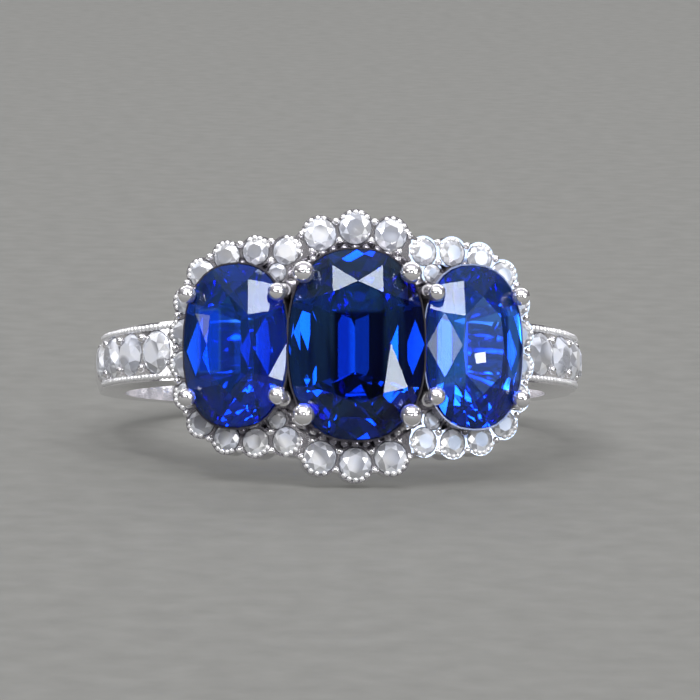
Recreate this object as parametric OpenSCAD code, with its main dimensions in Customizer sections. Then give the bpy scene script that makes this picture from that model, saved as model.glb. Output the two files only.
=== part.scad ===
// Three stone ring: three oval blue stones inside one scalloped halo of small round stones, on a
// tapered band with stone-set shoulders. The origin is the centre of the finger hole. The ring lies
// on its side as on a table, resting on the lowest lobe of the halo and on the back of the band.

/* [Band] */
// Inner diameter of the finger hole
finger_d = 16.5; // [14:0.1:21]
// Thickness of the band at the middle of its width
band_t = 1.2; // [1:0.05:1.6]
// Width of the band at the back
band_back_w = 1.8; // [1.5:0.1:2.4]
// Width of the band where it meets the head
band_head_w = 2.3; // [2.1:0.1:2.8]
// Radius of the dome across the outside of the band
band_dome_r = 2.4; // [2:0.1:6]

/* [Shoulders] */
// Angle from the middle of the head at which the raised arms run out into the band
arm_end = 76; // [68:1:82]
// Thickness of the raised arms
arm_t = 0.95; // [0.9:0.05:1.1]
// Number of stones set in each shoulder
shoulder_count = 4; // [2:1:4]
// Diameter of a shoulder stone
shoulder_d = 1.6; // [1.2:0.05:1.7]

/* [Main stones] */
// Height of the main stones' girdles above the finger
head_rise = 3.65; // [3.4:0.05:4.5]
// Width of the centre stone
centre_w = 5; // [4.6:0.1:5.6]
// Length of the centre stone
centre_l = 7; // [6.4:0.1:7.8]
// Height of the centre stone's crown
centre_crown_h = 0.78; // [0.6:0.02:1]
// Depth of the centre stone's pavilion
centre_pav_h = 2.05; // [1.8:0.05:2.2]
// Width of a side stone
side_w = 4; // [3.7:0.1:4.4]
// Length of a side stone
side_l = 6; // [5.6:0.1:6.4]
// Height of a side stone's crown
side_crown_h = 0.66; // [0.5:0.02:0.8]
// Depth of a side stone's pavilion
side_pav_h = 1.65; // [1.5:0.05:2]
// Thickness of the main stones' girdles
girdle_t = 0.12; // [0.08:0.01:0.16]
// Squareness of the main stones' ovals, where 2 is an ellipse
oval_power = 2.4; // [2.1:0.1:2.8]
// Space between neighbouring main stones
stone_space = 0.1; // [0.06:0.02:0.3]

/* [Halo] */
// Diameter of the halo stones above and below the centre stone
centre_halo_d = 1.2; // [1.05:0.05:1.3]
// Diameter of the halo stones round the side stones
side_halo_d = 1.0; // [0.9:0.05:1.1]
// Diameter of the single stones tucked between the claws
filler_d = 0.68; // [0.5:0.02:0.74]
// Space between neighbouring halo stones
halo_space = 0.14; // [0.12:0.02:0.3]
// Drop of the halo's top below the main stones' girdles
halo_drop = 0.75; // [0.65:0.05:0.9]
// Height of the halo's wall
halo_h = 0.95; // [0.85:0.05:1.2]
// Width of metal round each halo stone
halo_rim = 0.11; // [0.1:0.01:0.2]
// Reach of the halo's stone line past the ends of the centre stone
centre_halo_out = 0.87; // [0.8:0.02:1]
// Reach of the halo's stone line past the ends of a side stone
side_halo_out = 0.54; // [0.5:0.02:0.7]
// Reach of the halo's stone line past the outer side of a side stone
side_halo_reach = 0.26; // [0.2:0.02:0.4]

/* [Claws and beads] */
// Diameter of a claw's stem
claw_d = 0.54; // [0.45:0.02:0.6]
// Diameter of the ball on a centre claw
centre_ball_d = 0.82; // [0.7:0.02:0.9]
// Diameter of the ball on a side claw
side_ball_d = 0.68; // [0.6:0.02:0.76]
// Height of the claw balls' centres above the girdle
ball_h = 0.32; // [0.25:0.01:0.4]
// Diameter of the beads that hold the small stones
bead_d = 0.27; // [0.22:0.01:0.3]
// Diameter of the beads that hold the shoulder stones
shoulder_bead_d = 0.36; // [0.3:0.01:0.38]
// Diameter of the beads between the ends of the centre stone and its halo stones
inner_bead_d = 0.34; // [0.28:0.01:0.36]
// Thickness of the rim wire round each basket
wire_t = 0.25; // [0.2:0.01:0.3]
// Gap between a main stone and its seat
seat_gap = 0.04; // [0.02:0.01:0.06]
// Gap between a small stone and its seat
pave_gap = 0.03; // [0.02:0.01:0.04]

/* [Hidden] */
finger_r = finger_d / 2;
band_r = finger_r + band_t;
girdle_r = finger_r + head_rise;
tray_r = girdle_r - halo_drop;

// Directions that a main stone's eight pavilion facets face, counted anticlockwise from +X
pav_turns = [0, 40, 90, 140, 180, 220, 270, 320];

// Step half way down the pavilion, as shares of the half width left there and of the depth above it,
// and the keel below it as a share of the length by which the stone is longer than wide
step_left_share = 0.51;
step_deep_share = 0.53;
keel_share = 0.96;
oval_points = 64;
seat_points = 32;
star_share = 0.5;

// Table corners of a main stone, as shares of its half width and half length
centre_table_share = [[0.48, 0], [0.37, 0.53], [0, 0.65]];
side_table_share = [[0.43, 0], [0.37, 0.36], [0, 0.6]];

// Place of the claws on a main stone's outline, and of their feet in the band
centre_claw_t = 43;
side_claw_t = 34;
claw_share = 1.03;
knee_share = 1.06;
foot_across_share = 0.45;
foot_along_share = 0.36;
foot_sink_share = 0.55;

// The two bars of a claw cross at its knee, and the upper one is a hair thinner
knee_over = 0.3 * claw_d;
upper_claw_d = 0.98 * claw_d;

// Share of the rim wire's thickness inside the girdle's line, and the lower rail's thickness
rim_in_share = 0.6;
rail_t = 0.34;

// The side stones lean until their girdles stand one space from the centre stone's
lean = asin((centre_w / 2 + stone_space) / norm([girdle_r, side_w / 2])) + atan(side_w / 2 / girdle_r);

// Where the centre and side planes of the halo meet
valley_x = tray_r * tan(lean / 2);

// Ovals that the lines of halo stones follow, as half width, half length and squareness
centre_line_share = 1.6;
side_line_share = 1.45;
centre_line = [centre_line_share * centre_w / 2, centre_l / 2 + centre_halo_out, 2];
side_shift = (side_line_share - 1) * side_w / 2;
side_line = [side_line_share * side_w / 2 + side_halo_reach, side_l / 2 + side_halo_out, 2.8];

// Where the side stones' line starts and the links end, past the valley between the halo's planes
side_start = 0.42 * side_halo_d - valley_x;
link_end = valley_x + 0.1 * side_halo_d;

// Place of the filler stones, as shares of a side stone's half width and half length
filler_share = [0.7, 0.91];
filler_at = [-filler_share.x * side_w / 2, filler_share.y * side_l / 2];

centre_pitch = centre_halo_d + halo_space;
side_pitch = side_halo_d + halo_space;
line_steps = 60;

function oval(a, b, e, t) =
    [a * sign(cos(t)) * pow(abs(cos(t)), 2 / e), b * sign(sin(t)) * pow(abs(sin(t)), 2 / e)];
function oval_reach(a, b, e, n) =
    let (q = e / (e - 1))
    pow(pow(abs(a * cos(n)), q) + pow(abs(b * sin(n)), q), 1 / q);
function oval_normal(a, b, e, p) =
    let (g = [sign(p.x) * pow(abs(p.x / a), e - 1) / a, sign(p.y) * pow(abs(p.y / b), e - 1) / b])
    g / norm(g);
function oval_outline(a, b, n) = [for (k = [0 : n - 1]) oval(a, b, oval_power, 360 * k / n)];

// Length along an oval from angle t0 to t1, as a table of length and angle
function arc_table(line, t0, t1) =
    let (
        ts = [for (k = [0 : line_steps]) t0 + (t1 - t0) * k / line_steps],
        ps = [for (t = ts) oval(line[0], line[1], line[2], t)]
    )
    [for (k = 0, s = 0; k <= line_steps;
        s = s + (k < line_steps ? norm(ps[k + 1] - ps[k]) : 0), k = k + 1) [s, ts[k]]];
function line_point(line, table, s) = oval(line[0], line[1], line[2], lookup(s, table));

side_t0 = 180 - acos(pow(abs((side_start + side_shift) / side_line[0]), side_line[2] / 2));
side_table_s = arc_table(side_line, side_t0, -side_t0);
side_run = side_table_s[line_steps][0];
side_count = round(side_run / side_pitch) + 1;
centre_t0 = acos(valley_x / centre_line[0]);
centre_table_s = arc_table(centre_line, centre_t0, 180 - centre_t0);
centre_run = centre_table_s[line_steps][0];
centre_count = floor(centre_run / centre_pitch);

function side_point(i) =
    line_point(side_line, side_table_s, i * side_run / (side_count - 1)) - [side_shift, 0];
function centre_point(i) =
    line_point(centre_line, centre_table_s, centre_run / 2 + (i - (centre_count - 1) / 2) * centre_pitch);

// Every halo stone as lean, across, along and diameter
halo = concat(
    [for (s = [1, -1], i = [0 : centre_count - 1])
        [0, centre_point(i).x, s * centre_point(i).y, centre_halo_d]],
    [for (s = [-1, 1], i = [0 : side_count - 1])
        [s * lean, s * side_point(i).x, side_point(i).y, side_halo_d]],
    [for (s = [-1, 1], e = [-1, 1]) [s * lean, s * filler_at.x, e * filler_at.y, filler_d]]
);

// Row of beads that follows each end of the centre stone from claw to claw
inner_out = 0.35 * inner_bead_d;
inner_pitch = 1.2 * inner_bead_d;
inner_line = [centre_w / 2 + inner_out, centre_l / 2 + inner_out, oval_power];
inner_table_s = arc_table(inner_line, centre_claw_t, 180 - centre_claw_t);
inner_run = inner_table_s[line_steps][0];
inner_count = floor((inner_run - centre_ball_d - inner_bead_d) / inner_pitch) + 1;

function inner_point(i) =
    line_point(inner_line, inner_table_s, inner_run / 2 + (i - (inner_count - 1) / 2) * inner_pitch);

function two_digits(k) = k < 10 ? str("0", k) : str(k);
halo_nodes = [for (k = [1 : len(halo)]) str("halo_stone_", two_digits(k))];

// The arms' circle runs from the band at arm_end up into the side wall of the halo
arm_foot = band_r * [sin(arm_end), -cos(arm_end)];
arm_top_share = 0.55;
arm_top_r = tray_r - arm_top_share * halo_h;
arm_top_u = side_line[0] - side_shift;
arm_top = arm_top_r * [sin(lean), -cos(lean)] + arm_top_u * [cos(lean), sin(lean)];
arm_c = (arm_top * arm_top - arm_foot * arm_foot) / (2 * (arm_foot.y - arm_top.y));
arm_r = norm(arm_foot + [0, arm_c]);
halo_wall_u = arm_top_u + side_halo_d / 2 + halo_rim;
arm_start = lean + asin((halo_wall_u + arm_c * sin(lean)) / arm_r);
arm_step = (shoulder_d + halo_space) / arm_r * 180 / PI;
arm_first = arm_start + (shoulder_d / 2 + 2 * halo_space) / arm_r * 180 / PI;

// Angles by which the arms' wedge starts inside the halo and runs out past their ends
arm_in = 8;
arm_over = 6;

// The ring tips until its lowest halo lobe and the back of the band touch the table
lobe_low = -(centre_line[1] + centre_halo_d / 2 + halo_rim);
lobe_back = -(tray_r - halo_h);
dome_drop = band_dome_r - sqrt(band_dome_r * band_dome_r - band_back_w * band_back_w / 4);
tip = atan((-band_back_w / 2 - lobe_low) / (band_r - dome_drop - lobe_back));

// Rows of beads stand off the stones' line by a share of the stones' diameter
side_bead_off = 0.36 * side_halo_d;
shoulder_bead_off = 0.35 * shoulder_d;
link_half = side_halo_d / 2 + halo_rim - bead_d / 2 - pave_gap;
floor_t = 0.35;
overshoot = 1;

module lay() {
    rotate([-tip, 0, 0]) children();
}

// A frame whose XY plane is a main stone's girdle plane and whose +Z points away from the finger
module head_frame(angle) {
    rotate([0, 0, angle]) rotate([90, 0, 0]) translate([0, 0, girdle_r]) children();
}

module shoulder_frame(side, k) {
    translate([0, -arm_c, 0])
        rotate([0, 0, side * (arm_first + k * arm_step)])
            rotate([90, 0, 0])
                translate([0, 0, arm_r])
                    children();
}

// Meeting point, at height z, of two facet planes, each given by its normal and its offset
function planes_meet(n1, c1, n2, c2, z) =
    let (
        d1 = c1 - n1.z * z,
        d2 = c2 - n2.z * z,
        w = n1.x * n2.y - n1.y * n2.x
    )
    [(d1 * n2.y - d2 * n1.y) / w, (n1.x * d2 - n2.x * d1) / w, z];

// Crown corner signs for the eight main facets, counted anticlockwise from +X
corner_kind = [0, 1, 2, 1, 0, 1, 2, 1];
across_sign = [1, 1, 0, -1, -1, -1, 0, 1];
along_sign = [0, 1, 1, 1, 0, -1, -1, -1];

// Oval mixed cut: brilliant crown over a stepped pavilion that ends in a keel
module oval_stone(a, b, crown, pav, girdle, table, n) {
    part = n / 8;
    rim = oval_outline(a, b, n);
    top = [for (i = [0 : 7]) [
        across_sign[i] * table[corner_kind[i]].x * a, along_sign[i] * table[corner_kind[i]].y * b, crown]];
    main_n = [for (i = [0 : 7])
        let (
            g = rim[i * part],
            o = oval_normal(a, b, oval_power, g),
            along = [-o.y, o.x, 0],
            up = top[i] - [g.x, g.y, 0],
            m = cross(along, up)
        )
        m / norm(m)];
    main_c = [for (i = [0 : 7]) main_n[i] * [rim[i * part].x, rim[i * part].y, 0]];
    star = [for (i = [0 : 7])
        let (j = (i + 1) % 8)
        planes_meet(main_n[i], main_c[i], main_n[j], main_c[j], star_share * crown)];
    upper = [for (k = [0 : n - 1])
        let (
            i = floor(k / part),
            half = (k - i * part) < part / 2 ? 0 : 1,
            p0 = rim[i * part + half * part / 2],
            p1 = rim[(i * part + (half + 1) * part / 2) % n],
            m = cross([p1.x - p0.x, p1.y - p0.y, 0], star[i] - [p0.x, p0.y, 0])
        )
        [rim[k].x, rim[k].y, (m * [p0.x, p0.y, 0] - m.x * rim[k].x - m.y * rim[k].y) / m.z]];
    reach = [for (t = pav_turns) oval_reach(a, b, oval_power, t)];
    step_in = (1 - step_left_share) * a;
    step = [for (j = [0 : 7])
        let (
            h = (j + 7) % 8,
            n1 = pav_turns[h],
            n2 = pav_turns[j],
            r1 = reach[h] - step_in,
            r2 = reach[j] - step_in,
            w = sin(n2 - n1)
        )
        [(r1 * sin(n2) - r2 * sin(n1)) / w, (r2 * cos(n1) - r1 * cos(n2)) / w,
            -girdle - step_deep_share * pav]];
    slope = step_deep_share * pav / step_in;
    low = [for (p = rim)
        [for (j = [0 : 7]) slope * (cos(pav_turns[j]) * p.x + sin(pav_turns[j]) * p.y - reach[j])]];
    owner = [for (z = low) search(max(z), z)[0]];
    lower = [for (k = [0 : n - 1]) [rim[k].x, rim[k].y, max(low[k]) - girdle]];
    keel = keel_share * (b - a);
    // Points in order: table, stars, upper rim, lower rim, pavilion step, ends of the keel
    s0 = 8;
    u0 = 16;
    l0 = u0 + n;
    t0 = l0 + n;
    k0 = t0 + 8;
    crown_faces = concat(
        [[for (i = [7 : -1 : 0]) i]],
        [for (i = [0 : 7]) [i, (i + 1) % 8, s0 + i]],
        [for (i = [0 : 7]) [i, s0 + i, u0 + i * part, s0 + (i + 7) % 8]],
        [for (k = [0 : n - 1]) [s0 + floor(k / part), u0 + (k + 1) % n, u0 + k]]
    );
    girdle_faces = [for (k = [0 : n - 1], h = [0, 1])
        h == 0 ? [u0 + k, u0 + (k + 1) % n, l0 + k] : [u0 + (k + 1) % n, l0 + (k + 1) % n, l0 + k]];
    pav_faces = concat(
        [for (k = [0 : n - 1])
            let (same = owner[k] == owner[(k + 1) % n])
            [l0 + k, l0 + (k + 1) % n, t0 + (same ? owner[k] : owner[(k + 1) % n])]],
        [for (k = [0 : n - 1])
            if (owner[k] != owner[(k + 1) % n])
                [l0 + k, t0 + owner[(k + 1) % n], t0 + owner[k]]],
        [[t0, t0 + 1, k0, k0 + 1], [t0 + 4, t0 + 5, k0 + 1, k0]],
        [for (j = [1, 2, 3]) [t0 + j, t0 + j + 1, k0]],
        [for (j = [5, 6, 7]) [t0 + j, t0 + (j + 1) % 8, k0 + 1]]
    );
    polyhedron(
        points = concat(top, star, upper, lower, step, [for (s = [1, -1]) [0, s * keel, -girdle - pav]]),
        faces = concat(crown_faces, girdle_faces, pav_faces),
        convexity = 4
    );
}

// Shares of a round stone's diameter
round_table_share = 0.57;
round_crown_share = 0.155;
round_girdle_share = 0.03;
round_pav_share = 0.43;
lower_half_share = 0.24;

// Height kept free of metal above a small stone's seat, as a share of its diameter
seat_open_share = 0.3;

// Round brilliant with its girdle's top edge at z = 0
module round_stone(d) {
    r = d / 2;
    crown = round_crown_share * d;
    girdle = round_girdle_share * d;
    pav = round_pav_share * d;
    star_r = r * (1 - star_share * (1 - round_table_share)) / cos(22.5);
    low_r = lower_half_share * r;
    low_z = -girdle - pav * (1 - lower_half_share * cos(22.5));
    ring = function(radius, count, first, z)
        [for (k = [0 : count - 1])
            [radius * cos(first + 360 * k / count), radius * sin(first + 360 * k / count), z]];
    polyhedron(
        points = concat(
            ring(r * round_table_share, 8, 0, crown),
            ring(star_r, 8, 22.5, star_share * crown),
            ring(r, 16, 0, 0),
            ring(r, 16, 0, -girdle),
            ring(low_r, 8, 22.5, low_z),
            [[0, 0, -girdle - pav]]
        ),
        faces = concat(
            [[for (i = [7 : -1 : 0]) i]],
            [for (i = [0 : 7]) [i, (i + 1) % 8, 8 + i]],
            [for (i = [0 : 7]) [i, 8 + i, 16 + 2 * i, 8 + (i + 7) % 8]],
            [for (k = [0 : 15]) [8 + floor(k / 2), 16 + (k + 1) % 16, 16 + k]],
            [for (k = [0 : 15]) [16 + k, 16 + (k + 1) % 16, 32 + (k + 1) % 16, 32 + k]],
            [for (k = [0 : 15]) [32 + k, 32 + (k + 1) % 16, 48 + floor(k / 2)]],
            [for (i = [0 : 7]) [32 + 2 * i, 48 + i, 56, 48 + (i + 7) % 8]]
        )
    );
}

// The space that a small stone's seat takes out of the metal
module round_seat(d) {
    r = d / 2 + pave_gap;
    deep = (round_girdle_share + round_pav_share) * d + 2 * pave_gap;
    rotate_extrude($fn = 48)
        polygon([[0, -deep], [r, -round_girdle_share * d - pave_gap],
            [r, seat_open_share * d], [0, seat_open_share * d]]);
}

module centre_cut(gap, n) {
    oval_stone(centre_w / 2 + gap, centre_l / 2 + gap, centre_crown_h + gap, centre_pav_h + gap,
        girdle_t + gap, centre_table_share, n);
}

module side_cut(gap, n) {
    oval_stone(side_w / 2 + gap, side_l / 2 + gap, side_crown_h + gap, side_pav_h + gap,
        girdle_t + gap, side_table_share, n);
}

module halo_place(h) {
    head_frame(h[0]) translate([h[1], h[2], -halo_drop]) children();
}

// A round bar from one point to another
module bar(p, q, d) {
    v = q - p;
    translate(p)
        rotate([0, acos(v.z / norm(v)), atan2(v.y, v.x)])
            cylinder(h = norm(v), d = d, $fn = 32);
}

module oval_band(a, b, inner, outer, z, h) {
    translate([0, 0, z])
        linear_extrude(h)
            difference() {
                polygon(oval_outline(a + outer, b + outer, seat_points));
                polygon(oval_outline(a - inner, b - inner, seat_points));
            }
}

// Rim wire, lower rail and four claws of one main stone
module basket(a, b, angle, ball_d) {
    corner = claw_share * oval(a, b, oval_power, angle);
    knee = knee_share * oval(a, b, oval_power, angle);
    foot = [foot_across_share * a, foot_along_share * band_head_w];
    foot_z = -(head_rise - foot_sink_share * band_t);
    knee_z = -2 * girdle_t;
    rail_z = -halo_drop - halo_h;
    at_rail = knee + (knee_z - rail_z) / (knee_z - foot_z) * (foot - knee);
    rail = [at_rail.x / pow(cos(angle), 2 / oval_power), at_rail.y / pow(sin(angle), 2 / oval_power)];
    oval_band(a, b, rim_in_share * wire_t, (1 - rim_in_share) * wire_t,
        rail_z, halo_drop + halo_h - girdle_t);
    oval_band(rail.x, rail.y, rail_t / 2, rail_t / 2, rail_z - wire_t, rail_t);
    for (sx = [-1, 1], sy = [-1, 1]) {
        ball = [sx * corner.x, sy * corner.y, ball_h];
        bend = [sx * knee.x, sy * knee.y, knee_z];
        toe = [sx * foot.x, sy * foot.y, foot_z];
        bar(toe, bend + knee_over * (bend - toe) / norm(bend - toe), claw_d);
        bar(bend + knee_over * (bend - ball) / norm(bend - ball), ball, upper_claw_d);
        translate(ball) sphere(d = ball_d, $fn = 40);
    }
}

// Straight link under two neighbouring halo stones
module halo_link(p, q) {
    v = q - p;
    translate([(p.x + q.x) / 2, (p.y + q.y) / 2, -halo_drop - halo_h])
        rotate([0, 0, atan2(v.y, v.x)])
            translate([-norm(v) / 2, -link_half, 0]) cube([norm(v), 2 * link_half, halo_h]);
}

module halo_beads(p, q) {
    v = q - p;
    translate([(p.x + q.x) / 2, (p.y + q.y) / 2, -halo_drop])
        rotate([0, 0, atan2(v.y, v.x)])
            for (s = [-1, 1]) translate([0, s * side_bead_off, 0]) sphere(d = bead_d, $fn = 24);
}

module inner_beads() {
    for (s = [1, -1], p = [for (i = [0 : inner_count - 1]) inner_point(i)])
        translate([p.x, s * p.y, -halo_drop]) sphere(d = inner_bead_d, $fn = 24);
}

module halo_lobe(p, d) {
    translate([p.x, p.y, -halo_drop - halo_h]) cylinder(h = halo_h, d = d + 2 * halo_rim, $fn = 48);
}

// Floor that ties the halo's wall to the basket, cut off where the next plane begins
module halo_floor(line, shift, a, b, from_x, to_x) {
    intersection() {
        oval_floor_ring(line, shift, a, b);
        translate([from_x, -line[1] - overshoot, -halo_drop - halo_h])
            cube([to_x - from_x, 2 * (line[1] + overshoot), halo_h]);
    }
}

module oval_floor_ring(line, shift, a, b) {
    translate([0, 0, -halo_drop - halo_h])
        difference() {
            linear_extrude(floor_t)
                polygon([for (k = [0 : seat_points - 1])
                    oval(line[0], line[1], line[2], 360 * k / seat_points) - [shift, 0]]);
            translate([0, 0, -overshoot])
                linear_extrude(floor_t + 2 * overshoot)
                    polygon(oval_outline(a, b, seat_points));
        }
}

module centre_halo() {
    valley = [link_end, side_point(0).y];
    stones = [for (i = [0 : centre_count - 1]) centre_point(i)];
    run = concat([valley], stones, [[-valley.x, valley.y]]);
    for (s = [1, -1]) {
        for (p = stones) halo_lobe([p.x, s * p.y], centre_halo_d);
        for (i = [0 : len(run) - 2]) {
            halo_link([run[i].x, s * run[i].y], [run[i + 1].x, s * run[i + 1].y]);
            halo_beads([run[i].x, s * run[i].y], [run[i + 1].x, s * run[i + 1].y]);
        }
    }
    inner_beads();
    halo_floor(centre_line, 0, centre_w / 2, centre_l / 2, -valley_x, valley_x);
}

module side_halo() {
    stones = [for (i = [0 : side_count - 1]) side_point(i)];
    start = [-link_end, stones[0].y];
    run = concat([start], stones, [[start.x, -start.y]]);
    for (p = stones) halo_lobe(p, side_halo_d);
    for (s = [-1, 1]) halo_lobe([filler_at.x, s * filler_at.y], filler_d);
    for (i = [0 : len(run) - 2]) halo_link(run[i], run[i + 1]);
    for (i = [0 : side_count - 2]) halo_beads(stones[i], stones[i + 1]);
    halo_floor(side_line, side_shift, side_w / 2, side_l / 2, -valley_x, side_line[0]);
}

// Wedge of both shoulders, seen along the finger
module shoulder_wedge() {
    reach = 2 * girdle_r;
    for (s = [-1, 1])
        translate([0, 0, -band_head_w])
            linear_extrude(2 * band_head_w)
                polygon([[0, 0], reach * [s * sin(lean + arm_in), -cos(lean + arm_in)],
                    reach * [s * sin(arm_end + arm_over), -cos(arm_end + arm_over)]]);
}

module arms() {
    intersection() {
        translate([0, -arm_c, -band_head_w])
            difference() {
                cylinder(h = 2 * band_head_w, r = arm_r, $fn = 128);
                translate([0, 0, -overshoot])
                    cylinder(h = 2 * band_head_w + 2 * overshoot, r = arm_r - arm_t, $fn = 128);
            }
        shoulder_wedge();
    }
}

module band() {
    rotate_extrude($fn = 128)
        intersection() {
            translate([finger_r - overshoot / 2, -band_head_w])
                square([band_t + overshoot, 2 * band_head_w]);
            translate([band_r - band_dome_r, 0]) circle(r = band_dome_r, $fn = 96);
        }
}

// Sides of the band, drawing in from the head to the back
module band_taper() {
    rotate([90, 0, 90])
        linear_extrude(4 * girdle_r, center = true)
            polygon([[-girdle_r, -band_head_w / 2], [band_r + overshoot, -band_back_w / 2],
                [band_r + overshoot, band_back_w / 2], [-girdle_r, band_head_w / 2]]);
}

module shoulder_beads() {
    for (side = [-1, 1], k = [0 : shoulder_count], s = [-1, 1])
        shoulder_frame(side, k - 0.5)
            translate([0, s * shoulder_bead_off, 0]) sphere(d = shoulder_bead_d, $fn = 24);
}

module ring_metal() {
    color("gainsboro") lay() difference() {
        union() {
            intersection() {
                union() {
                    band();
                    arms();
                }
                band_taper();
            }
            head_frame(0) {
                centre_halo();
                basket(centre_w / 2, centre_l / 2, centre_claw_t, centre_ball_d);
            }
            for (s = [-1, 1])
                head_frame(s * lean)
                    mirror([s < 0 ? 1 : 0, 0, 0]) {
                        side_halo();
                        basket(side_w / 2, side_l / 2, side_claw_t, side_ball_d);
                    }
            shoulder_beads();
        }
        cylinder(h = 4 * band_head_w, d = finger_d, center = true, $fn = 128);
        head_frame(0) centre_cut(seat_gap, seat_points);
        for (s = [-1, 1]) head_frame(s * lean) side_cut(seat_gap, seat_points);
        for (h = halo) halo_place(h) round_seat(h[3]);
        for (side = [-1, 1], k = [0 : shoulder_count - 1]) shoulder_frame(side, k) round_seat(shoulder_d);
    }
}

module centre_stone() {
    color("mediumblue") lay() head_frame(0) centre_cut(0, oval_points);
}

module side_stone(s) {
    color("royalblue") lay() head_frame(s * lean) side_cut(0, oval_points);
}

module halo_stone(h) {
    color("white") lay() halo_place(h) round_stone(h[3]);
}

module shoulder_stones(side) {
    color("white") lay()
        for (k = [0 : shoulder_count - 1]) shoulder_frame(side, k) round_stone(shoulder_d);
}

ring_metal();
centre_stone();
side_stone(-1);  // left_stone
side_stone(1);  // right_stone
for (k = [0 : len(halo) - 1])
    halo_stone(halo[k]);
shoulder_stones(-1);  // left_shoulder_stones
shoulder_stones(1);  // right_shoulder_stones
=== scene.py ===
import math
import random
import bpy
import bmesh
from mathutils import Matrix, Vector


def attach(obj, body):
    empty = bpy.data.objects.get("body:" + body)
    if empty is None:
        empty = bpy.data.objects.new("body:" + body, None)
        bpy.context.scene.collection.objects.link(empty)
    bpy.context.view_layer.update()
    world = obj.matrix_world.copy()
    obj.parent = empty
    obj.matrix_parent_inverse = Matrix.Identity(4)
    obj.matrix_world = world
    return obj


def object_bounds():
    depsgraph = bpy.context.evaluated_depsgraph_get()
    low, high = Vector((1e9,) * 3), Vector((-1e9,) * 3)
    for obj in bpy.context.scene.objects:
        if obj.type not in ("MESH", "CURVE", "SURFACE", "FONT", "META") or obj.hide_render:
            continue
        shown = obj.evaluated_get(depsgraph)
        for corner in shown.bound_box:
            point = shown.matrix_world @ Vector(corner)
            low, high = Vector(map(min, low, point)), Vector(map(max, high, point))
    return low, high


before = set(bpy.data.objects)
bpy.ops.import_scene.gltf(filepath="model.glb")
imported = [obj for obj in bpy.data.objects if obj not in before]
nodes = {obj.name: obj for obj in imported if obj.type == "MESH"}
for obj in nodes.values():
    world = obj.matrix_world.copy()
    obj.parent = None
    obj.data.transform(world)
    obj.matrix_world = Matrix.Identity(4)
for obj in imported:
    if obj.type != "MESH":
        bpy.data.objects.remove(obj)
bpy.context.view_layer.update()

mm = 0.001
print("frame loaded,", len(nodes), "solids")

# Sizes that the solids were made with, in millimetres
ring = {
    "fingerR": 8.25, "bandT": 1.2, "bandBackW": 1.8, "bandHeadW": 2.3, "domeR": 2.4,
    "headRise": 3.65, "stoneSpace": 0.1, "haloDrop": 0.75, "haloH": 0.95,
    "lobeLow": -5.08,  # lowest point of the halo in the ring's own frame
}
stones = {
    "centre_stone": {"w": 5.0, "l": 7.0, "side": 0},
    "left_stone": {"w": 4.0, "l": 6.0, "side": -1},
    "right_stone": {"w": 4.0, "l": 6.0, "side": 1},
}
girdleR = ring["fingerR"] + ring["headRise"]
trayR = girdleR - ring["haloDrop"]
sideHalf = stones["left_stone"]["w"] / 2
centreReach = stones["centre_stone"]["w"] / 2 + ring["stoneSpace"]
lean = math.asin(centreReach / math.hypot(girdleR, sideHalf)) + math.atan(sideHalf / girdleR)
bandR = ring["fingerR"] + ring["bandT"]
domeDrop = ring["domeR"] - math.sqrt(ring["domeR"] ** 2 - ring["bandBackW"] ** 2 / 4)
restSpan = bandR - domeDrop + trayR - ring["haloH"]  # from the band's back edge to the lowest scallop
tip = math.atan((-ring["bandBackW"] / 2 - ring["lobeLow"]) / restSpan)


def around(angle):
    # The ring's own frame turned round the finger: X across, Y along the finger, Z away from it
    lying = Matrix.Rotation(-tip, 4, "X")
    return lying @ Matrix.Rotation(angle, 4, "Z") @ Matrix.Rotation(math.pi / 2, 4, "X")


def headFrame(angle):
    # The same at the girdle of a main stone
    return around(angle) @ Matrix.Translation((0, 0, girdleR * mm))


# Camera at the photograph's angle to the head
photo = {
    "distance": 170, "toFoot": 4.5, "toLeft": 4.0,  # millimetres, and degrees off the head's axis
    "pixelsPerMm": 27.2, "headAt": (356.8, 344.2), "size": 700,  # the head's place in pixels
    "sensor": 36, "clipStart": 0.005,  # millimetres, and metres
}
head = headFrame(0)
headAxis = head.to_3x3() @ Vector((0, 0, 1))
headUp = head.to_3x3() @ Vector((0, 1, 0))
back = (headAxis - headUp * math.tan(math.radians(photo["toFoot"]))
        - Vector((1, 0, 0)) * math.tan(math.radians(photo["toLeft"]))).normalized()
right = headUp.cross(back).normalized()
up = back.cross(right)
perPixel = mm / photo["pixelsPerMm"]
target = head.translation - right * (photo["headAt"][0] - photo["size"] / 2) * perPixel \
    + up * (photo["headAt"][1] - photo["size"] / 2) * perPixel
camera = bpy.data.objects.new("camera", bpy.data.cameras.new("camera"))
bpy.context.scene.collection.objects.link(camera)
turned = Matrix((right, up, back)).transposed().to_4x4()
camera.matrix_world = Matrix.Translation(target + back * photo["distance"] * mm) @ turned
camera.data.sensor_width = photo["sensor"]
camera.data.lens = photo["sensor"] * photo["distance"] * photo["pixelsPerMm"] / photo["size"]
camera.data.clip_start = photo["clipStart"]
bpy.context.scene.camera = camera
print("camera", round(math.degrees(math.asin(back.z)), 1), "degrees above the floor")


def newMaterial(name):
    mat = bpy.data.materials.new(name)
    mat.use_nodes = True
    tree = mat.node_tree
    shader = next(n for n in tree.nodes if n.type == "BSDF_PRINCIPLED")
    return mat, tree, shader


def noise(tree, scale, detail, vector=None):
    cloud = tree.nodes.new("ShaderNodeTexNoise")
    cloud.inputs["Scale"].default_value = scale
    cloud.inputs["Detail"].default_value = detail
    if vector is None:
        vector = tree.nodes.new("ShaderNodeTexCoord").outputs["Object"]
    tree.links.new(vector, cloud.inputs["Vector"])
    return cloud.outputs["Fac"]


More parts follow.
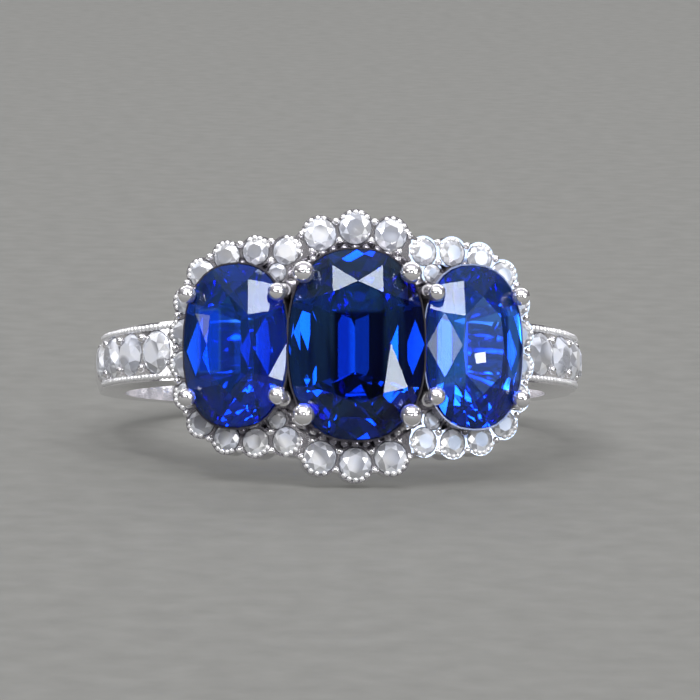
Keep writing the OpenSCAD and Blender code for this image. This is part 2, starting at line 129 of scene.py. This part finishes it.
def ramp(tree, fac, stops):
    made = tree.nodes.new("ShaderNodeValToRGB")
    for element, (position, colour) in zip(made.color_ramp.elements, stops):
        element.position = position
        element.color = (*colour, 1)
    tree.links.new(fac, made.inputs["Fac"])
    return made.outputs["Color"]


def span(tree, value, low, high, toLow, toHigh):
    made = tree.nodes.new("ShaderNodeMapRange")
    made.inputs["From Min"].default_value = low
    made.inputs["From Max"].default_value = high
    made.inputs["To Min"].default_value = toLow
    made.inputs["To Max"].default_value = toHigh
    tree.links.new(value, made.inputs["Value"])
    return made.outputs["Result"]


def bump(tree, shader, height, distance, strength):
    made = tree.nodes.new("ShaderNodeBump")
    made.inputs["Distance"].default_value = distance
    made.inputs["Strength"].default_value = strength
    tree.links.new(height, made.inputs["Height"])
    tree.links.new(made.outputs["Normal"], shader.inputs["Normal"])


def multiply(tree, first, second):
    made = tree.nodes.new("ShaderNodeMath")
    made.operation = "MULTIPLY"
    tree.links.new(first, made.inputs[0])
    tree.links.new(second, made.inputs[1])
    return made.outputs[0]


def blend(tree, share, tone, colour):
    made = tree.nodes.new("ShaderNodeMix")
    made.data_type = "RGBA"
    tree.links.new(share, made.inputs["Factor"])
    tree.links.new(tone, made.inputs[6])
    made.inputs[7].default_value = (*colour, 1)
    return made.outputs[2]


def axesOf(tree, place, scale=(1, 1, 1)):
    # Coordinates in a frame, in metres, each divided by its scale
    mapping = tree.nodes.new("ShaderNodeMapping")
    mapping.vector_type = "TEXTURE"
    mapping.inputs["Location"].default_value = place.translation
    mapping.inputs["Rotation"].default_value = place.to_euler()
    mapping.inputs["Scale"].default_value = scale
    tree.links.new(tree.nodes.new("ShaderNodeTexCoord").outputs["Object"], mapping.inputs["Vector"])
    axes = tree.nodes.new("ShaderNodeSeparateXYZ")
    tree.links.new(mapping.outputs["Vector"], axes.inputs["Vector"])
    return axes.outputs


def zone(tree, place, box, soft):
    # Share of a soft-edged box, given by its sides in millimetres along X and Y of a frame
    axes = axesOf(tree, place)
    share = None
    for axis, (low, high) in zip("XY", box):
        for edge, sign in ((low, 1), (high, -1)):
            outside, inside = (edge - sign * soft) * mm, (edge + sign * soft) * mm
            mask = span(tree, axes[axis], outside, inside, 0, 1)
            share = mask if share is None else multiply(tree, share, mask)
    return share


def paintedShadeUnderStone(tree, place, shape, underStoneShade):
    # Share of the metal just below a stone's girdle and inside its outline, let out by a margin: where
    # shade is painted under the stone
    halfW, halfL = (shape[key] / 2 + underStoneShade["margin"] for key in "wl")
    axes = axesOf(tree, place, (halfW * mm, halfL * mm, mm))
    flat = tree.nodes.new("ShaderNodeCombineXYZ")
    tree.links.new(axes["X"], flat.inputs["X"])
    tree.links.new(axes["Y"], flat.inputs["Y"])
    away = tree.nodes.new("ShaderNodeVectorMath")
    away.operation = "LENGTH"
    tree.links.new(flat.outputs["Vector"], away.inputs[0])
    under = span(tree, axes["Z"], underStoneShade["top"], underStoneShade["top"] - underStoneShade["topFade"], 0, 1)
    above = span(tree, axes["Z"], underStoneShade["bottom"] - underStoneShade["bottomFade"], underStoneShade["bottom"], 0, 1)
    inside = span(tree, away.outputs["Value"], *underStoneShade["edge"], 1, 0)
    return multiply(tree, inside, multiply(tree, under, above))


polish = {
    "cloud": 900, "duller": 0.93,  # clouds a millimetre or so wide, and how dull they get
    "smooth": 0.7, "rough": 1.5,  # spread of the roughness over the clouds
    "grain": 9000, "grainDeep": 0.00001, "grainShare": 0.12,
}


def polishedGold(name, colour, roughness, metallic, underStoneShade=None):
    # Polished metal: cloudy tone, a fine grain from the polishing and painted shade under the stones
    mat, tree, shader = newMaterial(name)
    shader.inputs["Metallic"].default_value = metallic
    cloud = noise(tree, polish["cloud"], 4)
    tone = ramp(tree, cloud, ((0.3, [c * polish["duller"] for c in colour]), (0.7, colour)))
    if underStoneShade:
        for shape in stones.values():
            share = paintedShadeUnderStone(tree, headFrame(shape["side"] * lean), shape, underStoneShade)
            # paint the shade colour over the metal under each stone
            tone = blend(tree, share, tone, underStoneShade["colour"])
    tree.links.new(tone, shader.inputs["Base Color"])
    worn = span(tree, cloud, 0.35, 0.7, roughness * polish["smooth"], roughness * polish["rough"])
    tree.links.new(worn, shader.inputs["Roughness"])
    bump(tree, shader, noise(tree, polish["grain"], 3), polish["grainDeep"], polish["grainShare"])
    return mat


def paintedSparkle(tree, look):
    # Painted sparkle: a share that jumps from facet to facet, and drifts a little from stone to stone;
    # the facets it picks are made milky and bright under any light
    geometry = tree.nodes.new("ShaderNodeNewGeometry")
    shifted = tree.nodes.new("ShaderNodeVectorMath")
    shifted.operation = "MULTIPLY_ADD"
    shifted.inputs[1].default_value = [look["drift"]] * 3
    tree.links.new(geometry.outputs["Position"], shifted.inputs[0])
    tree.links.new(geometry.outputs["True Normal"], shifted.inputs[2])
    return span(tree, noise(tree, look["scale"], 0, shifted.outputs["Vector"]), 0.44, 0.56, 0, 1)


stoneBody = {
    "bandScale": 1500, "bandLong": 7, "clearer": 0.02,  # soft bands along the stone
    "zoneSoft": 0.07, "wear": 4000, "worn": 0.03,  # millimetres, then fine rubbed spots
}


def clearStone(name, look, place=None):
    # Clear cut stone; a coloured one has soft bands of colour along its length and boxes of painted
    # light and painted shade
    mat, tree, shader = newMaterial(name)
    shader.inputs["IOR"].default_value = look["ior"]
    shader.inputs["Specular Tint"].default_value = (*look["gloss"], 1)
    mapping = tree.nodes.new("ShaderNodeMapping")
    mapping.vector_type = "TEXTURE"
    mapping.inputs["Scale"].default_value = (1, stoneBody["bandLong"], 1)
    if place is not None:
        mapping.inputs["Rotation"].default_value = place.to_euler()
    tree.links.new(tree.nodes.new("ShaderNodeTexCoord").outputs["Object"], mapping.inputs["Vector"])
    bands = noise(tree, stoneBody["bandScale"], 2, mapping.outputs["Vector"])
    tone = ramp(tree, bands, ((0.35, look["tints"][0]), (0.65, look["tints"][1])))
    least, most = look["clarity"] - stoneBody["clearer"], look["clarity"] + stoneBody["clearer"]
    clear = span(tree, bands, 0.3, 0.7, least, most)
    # each zone paints light or shade into the stone's colour and clearness
    for box, strength, colour in look.get("paintedLightShadeZones", ()):
        share = zone(tree, place, box, stoneBody["zoneSoft"])
        tone = blend(tree, share, tone, colour)
        clear = multiply(tree, clear, span(tree, share, 0, 1, 1, 1 - strength))
    if "paintedSparkle" in look:
        # facets picked by the painted sparkle turn milky, so they look lit whatever the light
        paintedSparkleMilk = span(tree, paintedSparkle(tree, look["paintedSparkle"]), 0, 1, 1, look["paintedSparkle"]["least"])
        clear = multiply(tree, clear, paintedSparkleMilk)
    tree.links.new(tone, shader.inputs["Base Color"])
    tree.links.new(clear, shader.inputs["Transmission Weight"])
    wear = span(tree, noise(tree, stoneBody["wear"], 5), 0.55, 0.8, 0.0, stoneBody["worn"])
    tree.links.new(wear, shader.inputs["Roughness"])
    if "absorb" in look:
        body = tree.nodes.new("ShaderNodeVolumeAbsorption")
        body.inputs["Color"].default_value = (*look["absorb"], 1)
        body.inputs["Density"].default_value = look["density"]
        out = next(n for n in tree.nodes if n.type == "OUTPUT_MATERIAL")
        tree.links.new(body.outputs["Volume"], out.inputs["Volume"])
    return mat


# Each zone is its box in millimetres from the stone's middle, how much it clouds the stone, and its
# colour; the centre stone's dark zones are painted shade, the side stones' azure zones painted light
# through the stone
blueLooks = {
    "centre_stone": {
        "ior": 1.77, "clarity": 0.98, "gloss": (0.36, 0.40, 0.46),
        "absorb": (0.0, 0.48, 0.86), "density": 850,
        "tints": ((0.14, 0.48, 1.0), (0.26, 0.66, 1.0)),
        "paintedLightShadeZones": ((((-0.9, 0.95), (-2.1, 1.15)), 0, (0.015, 0.05, 0.15)),
                  (((1.7, 2.6), (-2.2, 2.2)), 0, (0.04, 0.09, 0.34))),
    },
    "left_stone": {
        "ior": 1.77, "clarity": 0.965, "gloss": (0.36, 0.40, 0.46),
        "absorb": (0.0, 0.44, 0.90), "density": 800,
        "tints": ((0.10, 0.40, 1.0), (0.20, 0.54, 1.0)),
        "paintedLightShadeZones": ((((-1.25, -0.35), (-1.0, 1.3)), 0.28, (0.01, 0.11, 1.0)),),
    },
    "right_stone": {
        "ior": 1.77, "clarity": 0.965, "gloss": (0.36, 0.40, 0.46),
        "absorb": (0.07, 0.44, 0.95), "density": 700,
        "tints": ((0.10, 0.40, 1.0), (0.20, 0.56, 1.0)),
        "paintedLightShadeZones": ((((-1.6, -0.72), (-1.5, 1.5)), 0.14, (0.10, 0.40, 1.0)),
                  (((1.15, 1.75), (-1.2, 1.4)), 0.2, (0.10, 0.36, 1.0))),
    },
}
whiteLook = {
    "ior": 2.42, "clarity": 0.66, "gloss": (1, 1, 1),
    "tints": ((0.84, 0.88, 1.0), (0.98, 0.985, 1.0)),
    # painted sparkle: facets picked at random turn milky and bright
    "paintedSparkle": {"scale": 3.4, "drift": 260, "least": 0.2},
}
# Painted shade on the metal under the blue stones: millimetres up and down from the girdle, shares of
# the outline, and the shade's colour
underStoneShade = {
    "margin": 0.14, "edge": (1.05, 1.08), "top": 0.0, "topFade": 0.1, "bottom": -1.3, "bottomFade": 0.4,
    "colour": (0.26, 0.25, 0.29),
}
whiteGold = polishedGold("white_gold_polish", (0.90, 0.89, 0.91), 0.09, 0.85, underStoneShade)
# The grains get a lighter, less metallic copy of the same white gold, with a rougher finish; the
# lighter colour is a painted highlight
grainGold = polishedGold("white_gold_grains", (0.96, 0.96, 0.98), 0.2, 0.6)
whiteStone = clearStone("white_stone_clear", whiteLook)
blueStones = {}
for name, look in blueLooks.items():
    place = headFrame(stones[name]["side"] * lean)
    blueStones[name] = clearStone(name.replace("stone", "blue"), look, place)


def dress(obj, mat):
    obj.data.materials.clear()
    obj.data.materials.append(mat)


for name, obj in nodes.items():
    dress(obj, blueStones.get(name) or (whiteGold if name == "ring_metal" else whiteStone))
print("materials made")


def beadPiece(name, beads):
    # One mesh of small round grains; each is its place in metres and its diameter in millimetres
    mesh = bpy.data.meshes.new(name)
    bm = bmesh.new()
    for place, d in beads:
        spot = Matrix.Translation(place)
        bmesh.ops.create_icosphere(bm, subdivisions=3, radius=d / 2 * mm, matrix=spot)
    bm.to_mesh(mesh)
    bm.free()
    mesh.shade_smooth()
    obj = bpy.data.objects.new(name, mesh)
    bpy.context.scene.collection.objects.link(obj)
    dress(obj, grainGold)
    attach(obj, "root")
    print(name, len(beads), "grains")


# Fine grains along the outer edge of every halo stone
haloGrains = {
    "d": 0.2, "spread": 0.02, "in": 0.02,  # millimetres
    "step": 23, "shift": 2, "count": 5,  # degrees round a stone, and grains to a stone
    "centreTo": 6, "leftTo": 18, "rightTo": 30,  # last halo stone of each lobe
}
random.seed(7)
chance = random.uniform
grains = []
for number in range(1, haloGrains["rightTo"] + 1):
    side = 0 if number <= haloGrains["centreTo"] else -1 if number <= haloGrains["leftTo"] else 1
    place = headFrame(side * lean)
    inverse = place.inverted()
    corners = [inverse @ v.co for v in nodes["halo_stone_%02d" % number].data.vertices]
    low = [min(c[axis] for c in corners) for axis in (0, 1)]
    high = [max(c[axis] for c in corners) for axis in (0, 1)]
    x, y, r = (low[0] + high[0]) / 2, (low[1] + high[1]) / 2, (high[0] - low[0]) / 2
    shell = stones["centre_stone" if side == 0 else "right_stone"]
    outward = math.atan2(y / shell["l"] ** 2, x / shell["w"] ** 2)
    for k in range(haloGrains["count"]):
        fromMiddle = k - (haloGrains["count"] - 1) / 2
        shift = chance(-haloGrains["shift"], haloGrains["shift"])
        turn = outward + math.radians(fromMiddle * haloGrains["step"] + shift)
        reach = r - haloGrains["in"] * mm * chance(0, 1)
        d = haloGrains["d"] + haloGrains["spread"] * chance(-1, 1)
        spot = Vector((x + reach * math.cos(turn), y + reach * math.sin(turn), -ring["haloDrop"] * mm))
        grains.append((place @ spot, d))
beadPiece("halo_edge_grains", grains)

# Rows of fine grains along both edges of the stone-set shoulders
shoulderGrains = {
    "d": 0.24, "spread": 0.02, "inset": 0.17,
    "circleR": 9.17, "centreRise": 2.14,  # circle that the top of the raised arms follows
    "from": 46, "to": 88, "step": 1.62,  # degrees round that circle
}
grains = []
for side in (-1, 1):
    count = int((shoulderGrains["to"] - shoulderGrains["from"]) / shoulderGrains["step"])
    for k in range(count):
        angle = math.radians(shoulderGrains["from"] + k * shoulderGrains["step"])
        height = shoulderGrains["circleR"] * math.cos(angle) + shoulderGrains["centreRise"]
        share = (height + bandR) / (girdleR + bandR)
        bandW = ring["bandBackW"] + (ring["bandHeadW"] - ring["bandBackW"]) * share
        half = bandW / 2 - shoulderGrains["inset"]
        for s in (-1, 1):
            across = side * shoulderGrains["circleR"] * math.sin(angle)
            spot = Vector((across, s * half, height)) * mm
            d = shoulderGrains["d"] + shoulderGrains["spread"] * chance(-1, 1)
            grains.append((around(0) @ spot, d))
beadPiece("shoulder_edge_grains", grains)

# Pale grey floor, faintly mottled; a little glow of its own keeps the shadow soft
floorLook = {
    "half": 4.0, "mottle": 700, "tones": ((0.075, 0.075, 0.07), (0.1, 0.1, 0.094)),
    "roughness": 0.9, "glow": (1.0, 1.0, 0.96), "glowShare": 0.105,
}
floorMesh = bpy.data.meshes.new("floor")
half = floorLook["half"]
corners = [(-half, -half, 0), (half, -half, 0), (half, half, 0), (-half, half, 0)]
floorMesh.from_pydata(corners, [], [(0, 1, 2, 3)])
floor = bpy.data.objects.new("floor", floorMesh)
floor.location = (0, 0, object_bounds()[0].z)
bpy.context.scene.collection.objects.link(floor)
paleGrey, tree, shader = newMaterial("pale_grey_floor")
mottled = ramp(tree, noise(tree, floorLook["mottle"], 5), tuple(zip((0.3, 0.7), floorLook["tones"])))
tree.links.new(mottled, shader.inputs["Base Color"])
shader.inputs["Roughness"].default_value = floorLook["roughness"]
shader.inputs["Emission Color"].default_value = (*floorLook["glow"], 1)
shader.inputs["Emission Strength"].default_value = floorLook["glowShare"]
dress(floor, paleGrey)


def lamp(name, side, height, wide, tall, radiance, colour=(1, 1, 1), distance=1.8):
    # Angles are degrees as seen from the head: side to the camera's right, height above the floor,
    # then the lamp's width and height; distance is in metres
    s, h = math.radians(side), math.radians(height)
    level = Vector((back.x, back.y, 0)).normalized()
    across = Vector((right.x, right.y, 0)).normalized()
    away = (level * math.cos(s) + across * math.sin(s)) * math.cos(h) + Vector((0, 0, math.sin(h)))
    light = bpy.data.lights.new(name, "AREA")
    light.shape = "RECTANGLE"
    light.size = 2 * distance * math.tan(math.radians(wide) / 2)
    light.size_y = 2 * distance * math.tan(math.radians(tall) / 2)
    light.energy = radiance * math.pi * light.size * light.size_y
    light.color = colour
    obj = bpy.data.objects.new(name, light)
    obj.location = head.translation + away * distance
    obj.rotation_euler = away.to_track_quat("Z", "Y").to_euler()
    bpy.context.scene.collection.objects.link(obj)


# Small lamps stand where single facets mirror them or where light comes through the blue stones
lamp("star_left", -19, 57, 10, 9, 16)
lamp("star_right", 41, 55, 10, 9, 17)
lamp("kite_light", 10, 47, 10, 9, 18)
lamp("left_window", -19, 41, 8, 8, 17)
lamp("low_right", 51, 6, 14, 5, 18)
lamp("low_right_near", 35, 8.5, 5, 4, 20)
lamp("strip_left", -31, 13, 9, 5, 1.8)
lamp("strip_outer", -21, 13, 7, 5, 6)
lamp("strip_middle", -3, 16, 10, 6, 7)
lamp("strip_right", 32, 15, 6, 6, 5)
lamp("strip_far", 42, 15, 5, 5, 8)
lamp("table_haze", 55, 12, 8, 6, 2.2, (0.5, 0.68, 1.0))
lamp("small_window", 55, 12.1, 0.14, 0.14, 32, distance=1.7)
lamp("low_left", -85, 5, 24, 7, 3)
lamp("overhead", -5, 73, 46, 10, 8)
lamp("side_left", -44, 33, 9, 8, 16)
lamp("side_right", 36, 31, 9, 8, 16)
lamp("outer_right", 66, 29, 9, 8, 12)
lamp("high_left", -48, 64, 18, 10, 14)
lamp("behind", 180, 42, 80, 24, 2.6)

world = bpy.data.worlds.new("studio")
bpy.context.scene.world = world
world.use_nodes = True
tree = world.node_tree
sky = tree.nodes.new("ShaderNodeSeparateXYZ")
tree.links.new(tree.nodes.new("ShaderNodeTexCoord").outputs["Generated"], sky.inputs["Vector"])
skyLook = ((0.34, (0.045, 0.04, 0.05)), (0.9, (0.5, 0.49, 0.53)))  # dark near the floor, grey overhead
tree.links.new(ramp(tree, sky.outputs["Z"], skyLook), tree.nodes["Background"].inputs["Color"])
tree.nodes["Background"].inputs["Strength"].default_value = 1.0

cycles = bpy.context.scene.cycles
cycles.max_bounces = 24
cycles.transmission_bounces = 20
cycles.glossy_bounces = 8
bpy.context.scene.view_settings.view_transform = "Standard"
print("stage and lights made")
